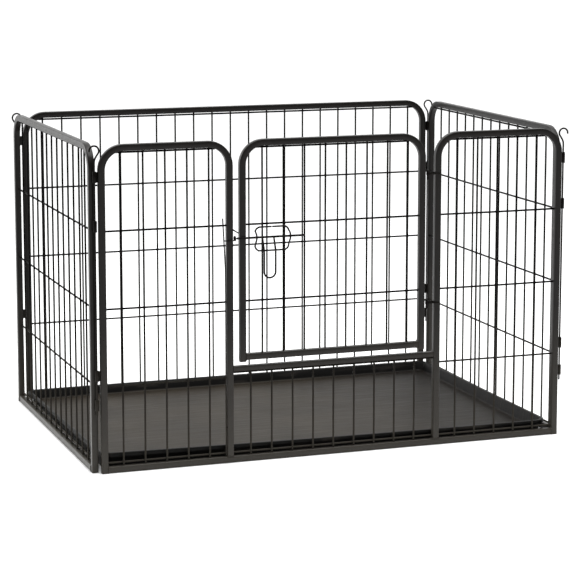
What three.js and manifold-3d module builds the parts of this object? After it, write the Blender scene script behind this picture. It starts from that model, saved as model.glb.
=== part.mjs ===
// Four-panel pet playpen: square-tube panels with welded wire mesh, joined at the corners by drop pins,
// a hinged door with a sliding bolt in the front panel, and a lift-out plastic floor tray.
// Millimetres, +Z up. X runs along the front, Y runs from the front panel to the back panel.
import * as THREE from 'three';
import { mergeVertices } from 'three/addons/utils/BufferGeometryUtils.js';
import Module from 'manifold-3d';

const wasm = await Module();
wasm.setup();

// ---------------------------------------------------------------- driving dimensions
const HEIGHT = 800; // top of every panel
const TUBE = 16; // side of the square frame tube
const WALL = 1.2; // wall of the frame tube
const BEND = 62; // outside radius of a panel's top corners
const BEND_STEPS = 5; // facets in each bend
const GAP = 0.3; // clearance left where two pieces are welded or rest together
const HALF = TUBE / 2;

const LEFT_X = 0; // centre planes of the four panels
const RIGHT_X = 1227;
const FRONT_Y = 0;
const BACK_Y = 848;
const SIDE_POSTS = [16.5, 832]; // post centres along Y, the same on both side panels
const BACK_POSTS = [28, 1205]; // post centres along X
const FRONT_LEFT = 20.5; // the front panel's four post centres
const LATCH_POST = 339.5;
const HINGE_POST = 888.5;
const FRONT_RIGHT = 1222.5;
const DOOR_STILES = [372.5, 846]; // the door frame's two stiles
const DOOR_FOOT = 251.5; // lower end of the stiles
const DOOR_RAIL = 255.5; // underside of the door's bottom rail
const THRESHOLD_TOP = 242; // bar across the foot of the doorway
const THRESHOLD_HEIGHT = 13;

const WIRE = 3.5; // side of a square bar with the section of a 4 mm round wire
const WIRE_SINK = 0.5; // depth that crossing wires are welded into each other
const LEVEL_FIRST = 23.5; // lowest level wire, then four more evenly spaced
const LEVEL_STEP = 189.2;
const LEVEL_COUNT = 5;
const MESH_PITCH = 54.9; // spacing of the upright wires in the front panel
const SIDE_PITCH = 56.7;
const BACK_PITCH = 54.15;
const BELOW_DOOR_PITCH = 54.4;

const PIN = 4.5; // corner pin rod
const PIN_FOOT = 142; // lower end of a pin
const PIN_NECK = 758; // where the rod turns into its ring
const RING_RADIUS = 11.75; // centre line of the ring
const RING_Z = HEIGHT - RING_RADIUS - PIN / 2;
const BARREL_OUTER = 5; // hinge barrels that the pins drop through
const BARREL_BORE = 3.1;
const BARREL_LENGTH = 27;
const TAB = 3; // thickness of the tab that joins a barrel to its post
const CROSS_PANEL_BARRELS = [723, 241]; // barrel heights on the front and back panels
const SIDE_PANEL_BARRELS = [604.5, 169]; // barrel heights on the side panels
const FRONT_LEFT_PIN = [4, 0];
const FRONT_RIGHT_PIN = [1236.8, 0];
const BACK_LEFT_PIN = [4, 848];
const BACK_RIGHT_PIN = [1222.5, 848];

const HINGE_AXIS_X = 863; // the door turns about this upright line
const HINGE_LEVELS = [697, 369];
const HINGE_ROD = 5;
const HINGE_EYE_LENGTH = 8;

const BOLT = 5.5; // door bolt rod
const BOLT_Y = -11.5;
const BOLT_Z = 560;
const BOLT_SPAN = [353.6, 532];
const HANDLE_WIRE = 4;
const HANDLE_LEGS = [420.5, 450];
const GUIDE_WIRE = 3.6;
const GUIDE_X = [404.5, 491.5]; // centre line of the guide loop's two ends
const GUIDE_Z = [525.5, 588];
const KEEPER_WIRE = 3.2;
const KEEPER_EYE_X = 350;

const TRAY_X = [13, 1214]; // outside of the tray's rim
const TRAY_Y = [13, 835];
const TRAY_HEIGHT = 34; // height of the moulded section. The rim rises and falls a little from it
const TRAY_SHEET = 2.5;
const TRAY_CORNER = 34;

// ---------------------------------------------------------------- materials
const coatedSteel = new THREE.MeshStandardMaterial({ color: 0x2b2825, roughness: 0.42, metalness: 0.35 });
const coatedWire = new THREE.MeshStandardMaterial({ color: 0x24211f, roughness: 0.45, metalness: 0.35 });
const blackFittings = new THREE.MeshStandardMaterial({ color: 0x1f1d1b, roughness: 0.4, metalness: 0.5 });
const trayPlastic = new THREE.MeshStandardMaterial({ color: 0x4c4641, roughness: 0.5, metalness: 0 });

const pen = new THREE.Group();

function addPiece(name, geometry, material) {
  const mesh = new THREE.Mesh(geometry, material);
  mesh.name = name;
  pen.add(mesh);
  return mesh;
}

// ---------------------------------------------------------------- joining and cutting
function toSolid(geometry) {
  const bare = geometry.clone();
  bare.deleteAttribute('normal');
  bare.deleteAttribute('uv');
  const merged = mergeVertices(bare, 1e-4);
  return new wasm.Manifold(new wasm.Mesh({
    numProp: 3,
    vertProperties: new Float32Array(merged.attributes.position.array),
    triVerts: new Uint32Array(merged.index.array),
  }));
}

function fromSolid(solid) {
  const mesh = solid.getMesh();
  const geometry = new THREE.BufferGeometry();
  geometry.setAttribute('position', new THREE.BufferAttribute(mesh.vertProperties, 3));
  geometry.setIndex(new THREE.BufferAttribute(mesh.triVerts, 1));
  const facets = geometry.toNonIndexed();
  facets.computeVertexNormals();
  return facets;
}

function joined(geometries) {
  let whole = toSolid(geometries[0]);
  for (const geometry of geometries.slice(1)) {
    whole = whole.add(toSolid(geometry));
  }
  return fromSolid(whole);
}

// ---------------------------------------------------------------- shapes used more than once
// A flat outline drawn in X and Z, given a thickness along Y and centred on the plane y = 0.
function uprightPlate(shape, thickness) {
  const plate = new THREE.ExtrudeGeometry(shape, {
    depth: thickness,
    bevelEnabled: false,
    curveSegments: BEND_STEPS,
  });
  plate.rotateX(Math.PI / 2);
  plate.translate(0, thickness / 2, 0);
  return plate;
}

// The outline of an upside-down U of tube between two post centres, drawn in by an inset all round.
function archOutline(from, to, foot, inset) {
  const left = from - HALF + inset;
  const right = to + HALF - inset;
  const top = HEIGHT - inset;
  const width = TUBE - 2 * inset;
  const outer = BEND - inset;
  const inner = BEND - TUBE + inset;
  const bendZ = HEIGHT - BEND;
  const outline = new THREE.Shape();
  outline.moveTo(left, foot);
  outline.lineTo(left + width, foot);
  outline.lineTo(left + width, bendZ);
  outline.absarc(left + outer, bendZ, inner, Math.PI, Math.PI / 2, true);
  outline.lineTo(right - outer, top - width);
  outline.absarc(right - outer, bendZ, inner, Math.PI / 2, 0, true);
  outline.lineTo(right - width, foot);
  outline.lineTo(right, foot);
  outline.lineTo(right, bendZ);
  outline.absarc(right - outer, bendZ, outer, 0, Math.PI / 2, false);
  outline.lineTo(left + outer, top);
  outline.absarc(left + outer, bendZ, outer, Math.PI / 2, Math.PI, false);
  return outline;
}

function hollowArch(from, to, foot) {
  const outside = toSolid(uprightPlate(archOutline(from, to, foot, 0), TUBE));
  const inside = toSolid(uprightPlate(archOutline(from, to, foot - 1, WALL), TUBE - 2 * WALL));
  return fromSolid(outside.subtract(inside));
}

// A straight hollow tube along X with open ends.
function hollowBar(from, to, bottom, height) {
  const section = new THREE.Shape();
  section.moveTo(-height / 2, -HALF);
  section.lineTo(height / 2, -HALF);
  section.lineTo(height / 2, HALF);
  section.lineTo(-height / 2, HALF);
  const bore = new THREE.Path();
  bore.moveTo(-height / 2 + WALL, -HALF + WALL);
  bore.lineTo(-height / 2 + WALL, HALF - WALL);
  bore.lineTo(height / 2 - WALL, HALF - WALL);
  bore.lineTo(height / 2 - WALL, -HALF + WALL);
  section.holes.push(bore);
  const bar = new THREE.ExtrudeGeometry(section, { depth: to - from, bevelEnabled: false });
  bar.rotateY(Math.PI / 2);
  bar.translate(from, 0, bottom + height / 2);
  return bar;
}

function box(x, y, z) {
  const solid = new THREE.BoxGeometry(x[1] - x[0], y[1] - y[0], z[1] - z[0]);
  solid.translate((x[0] + x[1]) / 2, (y[0] + y[1]) / 2, (z[0] + z[1]) / 2);
  return solid;
}

// The space inside an arch, drawn in by the welding gap.
function insideArch(from, to, foot) {
  const left = from + HALF + GAP;
  const right = to - HALF - GAP;
  const radius = BEND - TUBE - GAP;
  const bendZ = HEIGHT - BEND;
  const outline = new THREE.Shape();
  outline.moveTo(left, foot);
  outline.lineTo(right, foot);
  outline.lineTo(right, bendZ);
  outline.absarc(right - radius, bendZ, radius, 0, Math.PI / 2, false);
  outline.lineTo(left + radius, bendZ + radius);
  outline.absarc(left + radius, bendZ, radius, Math.PI / 2, Math.PI, false);
  return toSolid(uprightPlate(outline, TUBE));
}

// The mesh of an arched panel runs out to the tube all round, also in the bends.
function archedMesh({ posts, foot, ...wires }) {
  const ends = [posts[0], posts[1]];
  const mesh = wireMesh({ ...wires, ends, foot: foot - TUBE, top: HEIGHT });
  return fromSolid(toSolid(mesh).intersect(insideArch(posts[0], posts[1], foot)));
}

// Upright wires at even spacing crossed by level wires on the inner side of the panel.
function wireMesh({ first, pitch, count, ends, foot, top, levels, inward }) {
  const half = WIRE / 2;
  const offset = inward * (WIRE - WIRE_SINK);
  const bars = [];
  for (const z of levels) {
    bars.push(box([ends[0], ends[1]], [offset - half, offset + half], [z - half, z + half]));
  }
  for (let i = 0; i < count; i += 1) {
    const x = first + i * pitch;
    bars.push(box([x - half, x + half], [-half, half], [foot, top]));
  }
  return joined(bars);
}

function evenLevels(from, to) {
  const levels = [];
  for (let i = from; i < to; i += 1) {
    levels.push(LEVEL_FIRST + i * LEVEL_STEP);
  }
  return levels;
}

// A round wire bent along a curve.
function bentWire(points, diameter, steps, sides) {
  const section = new THREE.Shape();
  for (let i = 0; i < sides; i += 1) {
    const angle = ((i + 0.5) * 2 * Math.PI) / sides;
    const corner = [Math.cos(angle) * diameter / 2, Math.sin(angle) * diameter / 2];
    if (i === 0) {
      section.moveTo(...corner);
    } else {
      section.lineTo(...corner);
    }
  }
  const path = new THREE.CatmullRomCurve3(points, false, 'centripetal');
  return new THREE.ExtrudeGeometry(section, { extrudePath: path, steps, bevelEnabled: false });
}

function straightRod(from, to, diameter, sides) {
  const start = new THREE.Vector3(...from);
  const along = new THREE.Vector3(...to).sub(start);
  const rod = new THREE.CylinderGeometry(diameter / 2, diameter / 2, along.length(), sides);
  rod.translate(0, along.length() / 2, 0);
  const turn = new THREE.Quaternion().setFromUnitVectors(new THREE.Vector3(0, 1, 0), along.normalize());
  rod.applyQuaternion(turn);
  rod.translate(...start);
  return rod;
}

function arcPoints(centre, radius, from, to, count) {
  const points = [];
  for (let i = 0; i <= count; i += 1) {
    const angle = from + ((to - from) * i) / count;
    points.push([centre[0] + radius * Math.cos(angle), centre[1] + radius * Math.sin(angle)]);
  }
  return points;
}

// ---------------------------------------------------------------- single-arch panels
// Built along X about y = 0, then placed or turned into its own plane.
function panel(name, { posts, first, pitch, count, inward, place }) {
  const inner = [posts[0] + HALF + GAP, posts[1] - HALF - GAP];
  const pieces = [
    addPiece(`${name}_arch`, hollowArch(posts[0], posts[1], 0), coatedSteel),
    addPiece(`${name}_bottom_rail`, hollowBar(inner[0], inner[1], 0, TUBE), coatedSteel),
    addPiece(`${name}_mesh`, archedMesh({
      posts, first, pitch, count, foot: TUBE + GAP, levels: evenLevels(0, LEVEL_COUNT), inward,
    }), coatedWire),
  ];
  for (const piece of pieces) {
    place(piece);
  }
}

panel('back', {
  posts: BACK_POSTS, first: 75.5, pitch: BACK_PITCH, count: 21, inward: -1,
  place: (piece) => piece.position.set(0, BACK_Y, 0),
});

const SIDE_WIRES = { posts: SIDE_POSTS, first: 79.5, pitch: SIDE_PITCH, count: 13 };
function sidePanel(name, x, inward) {
  panel(name, {
    ...SIDE_WIRES, inward,
    place: (piece) => {
      piece.rotation.z = Math.PI / 2;
      piece.position.set(x, 0, 0);
    },
  });
}
sidePanel('left', LEFT_X, -1);
sidePanel('right', RIGHT_X, 1);

// ---------------------------------------------------------------- front panel
const RAIL_TOP = TUBE + GAP;
addPiece('front_bottom_rail', hollowBar(FRONT_LEFT + HALF + GAP, FRONT_RIGHT - HALF - GAP, 0, TUBE), coatedSteel);

// A bay is an arch with one leg at the corner, down to the floor, and one standing on the bottom rail.
function frontBay(name, from, to, shortLeg) {
  const arch = toSolid(hollowArch(from, to, 0));
  const x = shortLeg;
  const trim = toSolid(box([x - TUBE, x + TUBE], [-TUBE, TUBE], [-1, RAIL_TOP]));
  addPiece(`front_${name}_arch`, fromSolid(arch.subtract(trim)), coatedSteel);
}
frontBay('left', FRONT_LEFT, LATCH_POST, LATCH_POST);
frontBay('right', HINGE_POST, FRONT_RIGHT, HINGE_POST);

function bayMesh(name, posts, first) {
  addPiece(`front_${name}_mesh`, archedMesh({
    posts, first, pitch: MESH_PITCH, count: 5, foot: RAIL_TOP, levels: evenLevels(0, LEVEL_COUNT), inward: 1,
  }), coatedWire);
}
bayMesh('left', [FRONT_LEFT, LATCH_POST], 68.3);
bayMesh('right', [HINGE_POST, FRONT_RIGHT], 942.6);

const doorway = [LATCH_POST + HALF + GAP, HINGE_POST - HALF - GAP];
const THRESHOLD_FOOT = THRESHOLD_TOP - THRESHOLD_HEIGHT;
addPiece('door_threshold', hollowBar(doorway[0], doorway[1], THRESHOLD_FOOT, THRESHOLD_HEIGHT), coatedSteel);
addPiece('below_door_mesh', wireMesh({
  first: 394, pitch: BELOW_DOOR_PITCH, count: 9, ends: doorway,
  foot: RAIL_TOP, top: THRESHOLD_FOOT - GAP, levels: [LEVEL_FIRST, THRESHOLD_FOOT - 4], inward: 1,
}), coatedWire);

// ---------------------------------------------------------------- door
const doorInner = [DOOR_STILES[0] + HALF + GAP, DOOR_STILES[1] - HALF - GAP];
const DOOR_FIRST_WIRE = 424;
const DOOR_WIRES = 8;
addPiece('door_arch', hollowArch(DOOR_STILES[0], DOOR_STILES[1], DOOR_FOOT), coatedSteel);
addPiece('door_bottom_rail', hollowBar(doorInner[0], doorInner[1], DOOR_RAIL, TUBE), coatedSteel);
addPiece('door_mesh', archedMesh({
  posts: DOOR_STILES, first: DOOR_FIRST_WIRE, pitch: MESH_PITCH, count: DOOR_WIRES,
  foot: DOOR_RAIL + TUBE + GAP, levels: evenLevels(2, LEVEL_COUNT), inward: 1,
}), coatedWire);

// ---------------------------------------------------------------- hinge barrels and corner pins
// A short barrel about an upright line, with a flat tab that reaches to the face of a post.
function barrel(centre, height, length, reach, direction) {
  const ring = new THREE.Shape();
  ring.absarc(0, 0, BARREL_OUTER, 0, 2 * Math.PI, false);
  const bore = new THREE.Path();
  bore.absarc(0, 0, BARREL_BORE, 0, 2 * Math.PI, true);
  ring.holes.push(bore);
  const tube = new THREE.ExtrudeGeometry(ring, { depth: length, bevelEnabled: false, curveSegments: 6 });
  const start = (BARREL_OUTER + BARREL_BORE) / 2;
  const tab = box([start, reach], [-TAB / 2, TAB / 2], [0, length]);
  const piece = joined([tube, tab]);
  piece.rotateZ(direction);
  piece.translate(centre[0], centre[1], height - length / 2);
  return piece;
}

const EAST = 0;
const NORTH = Math.PI / 2;
const WEST = Math.PI;
const SOUTH = -Math.PI / 2;
const OUTER_FACE_REACH = 20; // this tab lies along the post's outer face

const corners = [
  { name: 'front_left', pin: FRONT_LEFT_PIN, ringSide: 1,
    cross: { reach: FRONT_LEFT - HALF - FRONT_LEFT_PIN[0] - GAP, direction: EAST },
    side: { reach: SIDE_POSTS[0] - HALF - FRONT_LEFT_PIN[1] - GAP, direction: NORTH } },
  { name: 'front_right', pin: FRONT_RIGHT_PIN, ringSide: -1,
    cross: { reach: FRONT_RIGHT_PIN[0] - FRONT_RIGHT - HALF - GAP, direction: WEST },
    side: { reach: OUTER_FACE_REACH, direction: NORTH } },
  { name: 'back_left', pin: BACK_LEFT_PIN, ringSide: -1,
    cross: { reach: BACK_POSTS[0] - HALF - BACK_LEFT_PIN[0] - GAP, direction: EAST },
    side: { reach: BACK_LEFT_PIN[1] - SIDE_POSTS[1] - HALF - GAP, direction: SOUTH } },
  { name: 'back_right', pin: BACK_RIGHT_PIN, ringSide: -1,
    cross: { reach: BACK_RIGHT_PIN[0] - BACK_POSTS[1] - HALF - GAP, direction: WEST },
    side: { reach: BACK_RIGHT_PIN[1] - SIDE_POSTS[1] - HALF - GAP, direction: SOUTH } },
];

// The rod turns sideways into an open ring that stands over it.
function pinRing(side) {
  const entry = -35 * Math.PI / 180;
  const end = 195 * Math.PI / 180;
  const points = [[0, PIN_NECK - 8], [0, PIN_NECK], [2.6, PIN_NECK + 9.5]];
  points.push(...arcPoints([0, RING_Z], RING_RADIUS, entry, end, 12));
  return points.map(([x, z]) => new THREE.Vector3(side * x, 0, z));
}

for (const { name, pin, ringSide, cross, side } of corners) {
  CROSS_PANEL_BARRELS.forEach((height, i) => {
    const level = i === 0 ? 'upper' : 'lower';
    addPiece(`${name}_cross_barrel_${level}`,
      barrel(pin, height, BARREL_LENGTH, cross.reach, cross.direction), blackFittings);
    addPiece(`${name}_side_barrel_${level}`,
      barrel(pin, SIDE_PANEL_BARRELS[i], BARREL_LENGTH, side.reach, side.direction), blackFittings);
  });
  const rod = straightRod([0, 0, PIN_FOOT], [0, 0, PIN_NECK], PIN, 8);
  const ring = bentWire(pinRing(ringSide), PIN - 0.2, 20, 6);
  const piece = addPiece(`${name}_pin`, joined([rod, ring]), blackFittings);
  piece.position.set(pin[0], pin[1], 0);
}

// ---------------------------------------------------------------- door hinges
const hingeReach = HINGE_POST - HALF - HINGE_AXIS_X - GAP;
const stileFace = DOOR_STILES[1] + HALF + GAP;
HINGE_LEVELS.forEach((level, i) => {
  const place = i === 0 ? 'upper' : 'lower';
  addPiece(`door_hinge_eye_${place}`,
    barrel([HINGE_AXIS_X, 0], level, HINGE_EYE_LENGTH, hingeReach, EAST), blackFittings);
  const armZ = level + HINGE_EYE_LENGTH / 2 + HINGE_ROD / 2 + 0.5;
  const arm = straightRod([stileFace, 0, armZ], [HINGE_AXIS_X, 0, armZ], HINGE_ROD, 8);
  const stub = straightRod([HINGE_AXIS_X, 0, level - 16], [HINGE_AXIS_X, 0, armZ + 1], HINGE_ROD + 0.2, 8);
  addPiece(`door_hinge_hook_${place}`, joined([arm, stub]), blackFittings);
});

// ---------------------------------------------------------------- door bolt
const boltEnds = BOLT_SPAN.map((x) => [x, BOLT_Y, BOLT_Z]);
addPiece('bolt_rod', straightRod(boltEnds[0], boltEnds[1], BOLT, 10), blackFittings);

// A long loop of wire that hangs from the bolt: its legs lean out, drop, and meet in a half circle.
const HANDLE_KNEE = [-26, 529];
const HANDLE_TURN_Z = 476;
function handlePath() {
  const leanY = HANDLE_KNEE[0] - BOLT_Y;
  const leanZ = HANDLE_KNEE[1] - BOLT_Z;
  const lean = Math.hypot(leanY, leanZ);
  const start = (BOLT / 2 + GAP) / lean;
  const middle = (HANDLE_LEGS[0] + HANDLE_LEGS[1]) / 2;
  const radius = (HANDLE_LEGS[1] - HANDLE_LEGS[0]) / 2;
  const leg = [
    [BOLT_Y + leanY * start, BOLT_Z + leanZ * start],
    [BOLT_Y + leanY * 0.5, BOLT_Z + leanZ * 0.5],
    [BOLT_Y + leanY * 0.9, BOLT_Z + leanZ * 0.9],
    [HANDLE_KNEE[0], HANDLE_KNEE[1] - 6],
    [HANDLE_KNEE[0], HANDLE_TURN_Z + 12],
  ];
  const down = leg.map(([y, z]) => new THREE.Vector3(HANDLE_LEGS[0], y, z));
  const up = leg.map(([y, z]) => new THREE.Vector3(HANDLE_LEGS[1], y, z)).reverse();
  const turn = arcPoints([middle, HANDLE_TURN_Z], radius, Math.PI, 2 * Math.PI, 8)
    .map(([x, z]) => new THREE.Vector3(x, HANDLE_KNEE[0], z));
  return [...down, ...turn, ...up];
}
addPiece('bolt_handle', bentWire(handlePath(), HANDLE_WIRE, 36, 6), blackFittings);

// A rounded loop welded to two of the door's wires. Both ends bow forward to let the bolt pass behind.
const GUIDE_Y = -WIRE / 2 - GUIDE_WIRE / 2 - GAP;
const GUIDE_BOW = BOLT_Y - BOLT / 2 - 0.8 - GUIDE_WIRE / 2 - GUIDE_Y;
const GUIDE_CORNER = 13;
const GUIDE_SEAM = 0.6; // butt joint where the loop's two ends meet
function guidePath() {
  const middle = (GUIDE_X[0] + GUIDE_X[1]) / 2;
  const corner = (x, z, from) => arcPoints([x, z], GUIDE_CORNER, from, from + Math.PI / 2, 4);
  const left = GUIDE_X[0] + GUIDE_CORNER;
  const right = GUIDE_X[1] - GUIDE_CORNER;
  const low = GUIDE_Z[0] + GUIDE_CORNER;
  const high = GUIDE_Z[1] - GUIDE_CORNER;
  const flat = [
    [middle - GUIDE_SEAM / 2, GUIDE_Z[1]],
    ...corner(left, high, Math.PI / 2),
    [GUIDE_X[0], BOLT_Z + 7], [GUIDE_X[0], BOLT_Z], [GUIDE_X[0], BOLT_Z - 7],
    ...corner(left, low, Math.PI),
    [middle, GUIDE_Z[0]],
    ...corner(right, low, 1.5 * Math.PI),
    [GUIDE_X[1], BOLT_Z - 7], [GUIDE_X[1], BOLT_Z], [GUIDE_X[1], BOLT_Z + 7],
    ...corner(right, high, 0),
    [middle + GUIDE_SEAM / 2, GUIDE_Z[1]],
  ];
  return flat.map(([x, z]) => {
    const atEnd = Math.min(x - GUIDE_X[0], GUIDE_X[1] - x) < 2;
    const rise = atEnd ? Math.exp(-(((z - BOLT_Z) / 12) ** 4)) : 0;
    return new THREE.Vector3(x, GUIDE_Y + GUIDE_BOW * rise, z);
  });
}
addPiece('bolt_guide', bentWire(guidePath(), GUIDE_WIRE, 52, 6), blackFittings);

// The keeper: a long wire beside the latch post, and an arm round the post that ends in an eye for the bolt.
const KEEPER_LEG_X = LATCH_POST - HALF - KEEPER_WIRE / 2 - 4 * GAP;
const KEEPER_LEG_Y = -3;
const KEEPER_ARM_Y = -HALF - KEEPER_WIRE / 2 - GAP;
const KEEPER_ARM_Z = BOLT_Z - BOLT / 2 - 0.7 - KEEPER_WIRE / 2;
const eyeRadius = BOLT / 2 + 0.9 + KEEPER_WIRE / 2;
const eye = new THREE.TorusGeometry(eyeRadius, KEEPER_WIRE / 2, 6, 14);
eye.rotateY(Math.PI / 2);
eye.translate(KEEPER_EYE_X, BOLT_Y, BOLT_Z);
addPiece('bolt_keeper', joined([
  bentWire([
    new THREE.Vector3(KEEPER_LEG_X, KEEPER_LEG_Y, RAIL_TOP),
    new THREE.Vector3(KEEPER_LEG_X, KEEPER_LEG_Y, 446),
    new THREE.Vector3(KEEPER_LEG_X - 1.5, KEEPER_LEG_Y, 507),
    new THREE.Vector3(KEEPER_LEG_X - 7, KEEPER_LEG_Y, 610),
  ], KEEPER_WIRE, 6, 6),
  bentWire([
    new THREE.Vector3(KEEPER_LEG_X - 4, KEEPER_LEG_Y + 0.5, KEEPER_ARM_Z - 0.5),
    new THREE.Vector3(KEEPER_LEG_X - 2, KEEPER_ARM_Y - 0.4, KEEPER_ARM_Z),
    new THREE.Vector3(KEEPER_LEG_X + 5, KEEPER_ARM_Y, KEEPER_ARM_Z),
    new THREE.Vector3(KEEPER_EYE_X, KEEPER_ARM_Y, KEEPER_ARM_Z),
  ], KEEPER_WIRE - 0.2, 12, 6),
  eye,
]), blackFittings);

// A bent wire on the inner face of the latch post. The door's stile closes against it.
const STOP_Y = HALF + KEEPER_WIRE / 2 + GAP;
addPiece('door_stop', bentWire([
  new THREE.Vector3(LATCH_POST - 6, STOP_Y, BOLT_Z + 27),
  new THREE.Vector3(LATCH_POST + 6, STOP_Y, BOLT_Z + 24),
  new THREE.Vector3(356, STOP_Y, BOLT_Z + 16),
  new THREE.Vector3(DOOR_STILES[0] + 5, STOP_Y, BOLT_Z + 3),
], KEEPER_WIRE, 6, 6), blackFittings);

// ---------------------------------------------------------------- floor tray
// A moulded tray: one section carried round a rounded rectangle, with a flat floor between.
function trayLoop(inset, z) {
  const radius = TRAY_CORNER - inset;
  const [x0, x1] = [TRAY_X[0] + inset, TRAY_X[1] - inset];
  const [y0, y1] = [TRAY_Y[0] + inset, TRAY_Y[1] - inset];
  const quarter = Math.PI / 2;
  const loop = [
    ...arcPoints([x1 - radius, y0 + radius], radius, -quarter, 0, 6),
    ...arcPoints([x1 - radius, y1 - radius], radius, 0, quarter, 6),
    ...arcPoints([x0 + radius, y1 - radius], radius, quarter, 2 * quarter, 6),
    ...arcPoints([x0 + radius, y0 + radius], radius, 2 * quarter, 3 * quarter, 6),
  ];
  return loop.map(([x, y]) => new THREE.Vector3(x, y, z * rimFactor(x, y, z)));
}

// The thin rim is not level: it stands up at the front left corner and sinks towards the back.
function rimFactor(x, y, z) {
  const across = (x - TRAY_X[0]) / (TRAY_X[1] - TRAY_X[0]);
  const back = (y - TRAY_Y[0]) / (TRAY_Y[1] - TRAY_Y[0]);
  const height = 35 - 7 * back + 11 * (1 - across) ** 2 * (1 - back);
  return 1 + (height / TRAY_HEIGHT - 1) * Math.min(1, z / 20);
}

function trayGeometry() {
  const top = TRAY_HEIGHT;
  const section = [
    [18, 0], [14, 3], [9, top - TRAY_SHEET], [TRAY_SHEET, top - TRAY_SHEET], [TRAY_SHEET, top - 8],
    [0, top - 8], [0, top - 1.5], [1.5, top], [10.5, top], [16.5, 5], [21, TRAY_SHEET],
  ];
  const loops = section.map(([inset, z]) => trayLoop(inset, z));
  const count = loops[0].length;
  const vertices = loops.flat();
  const faces = [];
  for (let ring = 0; ring + 1 < loops.length; ring += 1) {
    for (let i = 0; i < count; i += 1) {
      const next = (i + 1) % count;
      const a = ring * count + i;
      const b = ring * count + next;
      faces.push([a, b, b + count], [a, b + count, a + count]);
    }
  }
  const flat = loops[0].map((point) => new THREE.Vector2(point.x, point.y));
  const lastRing = (loops.length - 1) * count;
  for (const [a, b, c] of THREE.ShapeUtils.triangulateShape(flat, [])) {
    faces.push([c, b, a], [lastRing + a, lastRing + b, lastRing + c]);
  }
  const geometry = new THREE.BufferGeometry().setFromPoints(vertices);
  geometry.setIndex(faces.flat());
  return geometry.toNonIndexed();
}
const tray = trayGeometry();
tray.computeVertexNormals();
addPiece('tray', tray, trayPlastic);

// ---------------------------------------------------------------- origin
// The pen stands on z = 0 with the middle of its bounding box at x = y = 0.
const bounds = new THREE.Box3().setFromObject(pen);
const middle = bounds.getCenter(new THREE.Vector3());
pen.position.set(-middle.x, -middle.y, -bounds.min.z);

const whole = new THREE.Group();
whole.add(pen);

export default whole;
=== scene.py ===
# %% [markdown]
# # A wire pet playpen
# The real pen is four flat panels of black square tube and welded wire. Pins drop through small barrels
# at the corners to hold the panels together. The front panel has a door with a sliding bolt, and a black
# plastic tray lies on the floor inside. The frame below comes from the measured model, and each of its
# plain solids is swapped here for a piece with round wires, soft edges, welds and a real finish.

# %% Load the measured frame
import math
import random
import bpy
import bmesh
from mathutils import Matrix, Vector, noise


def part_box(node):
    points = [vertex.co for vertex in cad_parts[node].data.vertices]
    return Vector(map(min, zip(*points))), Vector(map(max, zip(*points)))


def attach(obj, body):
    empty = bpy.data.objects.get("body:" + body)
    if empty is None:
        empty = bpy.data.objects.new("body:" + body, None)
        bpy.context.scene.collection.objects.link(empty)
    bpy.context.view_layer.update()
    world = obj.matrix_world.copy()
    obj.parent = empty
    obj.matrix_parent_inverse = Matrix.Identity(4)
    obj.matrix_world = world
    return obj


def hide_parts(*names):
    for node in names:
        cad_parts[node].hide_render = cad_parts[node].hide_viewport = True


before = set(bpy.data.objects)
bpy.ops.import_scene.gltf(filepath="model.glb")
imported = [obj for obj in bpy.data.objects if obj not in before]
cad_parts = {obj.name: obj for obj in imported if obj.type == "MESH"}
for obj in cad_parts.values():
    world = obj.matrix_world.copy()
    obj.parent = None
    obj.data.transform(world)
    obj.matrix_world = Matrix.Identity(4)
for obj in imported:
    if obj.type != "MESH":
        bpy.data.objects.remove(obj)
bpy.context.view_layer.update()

# %% [markdown]
# ## One set of coordinates
# A maker would measure the pen from its front left corner in millimetres, and so does this lesson. The
# origin is where the centre planes of the left and front panels cross the floor. `spot` turns such a
# place into the frame's metres. Reading the origin off two finished pieces keeps both in step.

# %% Millimetres from the front left corner
left_low, left_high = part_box("left_arch")
rail_low, rail_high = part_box("front_bottom_rail")
corner = Vector(((left_low.x + left_high.x) / 2, (rail_low.y + rail_high.y) / 2, 0))


def spot(x, y, z):
    return corner + Vector((x, y, z)) / 1000


X, Y, Z = Vector((1, 0, 0)), Vector((0, 1, 0)), Vector((0, 0, 1))
HEIGHT, TUBE, BEND = 800, 16, 62
LEFT, RIGHT, FRONT, BACK = 0, 1227, 0, 848
print("front left corner at", [round(c, 4) for c in corner])

# %% [markdown]
# ## Carrying a section along a path
# Nearly everything here is stock of one section that was cut, bent and welded: square tube, round wire,
# rod. So one helper carries a closed outline along a path and keeps it from twisting. A curve object
# with a bevel could do the same, but its ends and its corners are harder to control.

# %% A piece in the making
class Work:
    """Vertices and faces of one piece while it is being made."""

    def __init__(self):
        self.verts = []
        self.faces = []

    def add(self, verts, faces):
        start = len(self.verts)
        self.verts += [tuple(v) for v in verts]
        self.faces += [tuple(start + i for i in face) for face in faces]


def rings_along(path, section, side, swell=None, closed=False):
    count = len(path)
    along = []
    for i in range(count):
        before = path[i - 1] if i or closed else path[0]
        after = path[(i + 1) % count] if i < count - 1 or closed else path[-1]
        along.append((after - before).normalized())
    across = (side - along[0] * side.dot(along[0])).normalized()
    rings = []
    for i, direction in enumerate(along):
        if i:
            across = along[i - 1].rotation_difference(direction) @ across
        other = direction.cross(across)
        grow = swell[i] if swell else 1
        rings.append([path[i] + (across * u + other * v) * (grow / 1000) for u, v in section])
    return rings


def skin(rings, closed=False, inward=False):
    size = len(rings[0])
    faces = []
    for k in range(len(rings) if closed else len(rings) - 1):
        a = k * size
        b = ((k + 1) % len(rings)) * size
        for i in range(size):
            j = (i + 1) % size
            face = (a + i, a + j, b + j, b + i)
            faces.append(face[::-1] if inward else face)
    return faces


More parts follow.
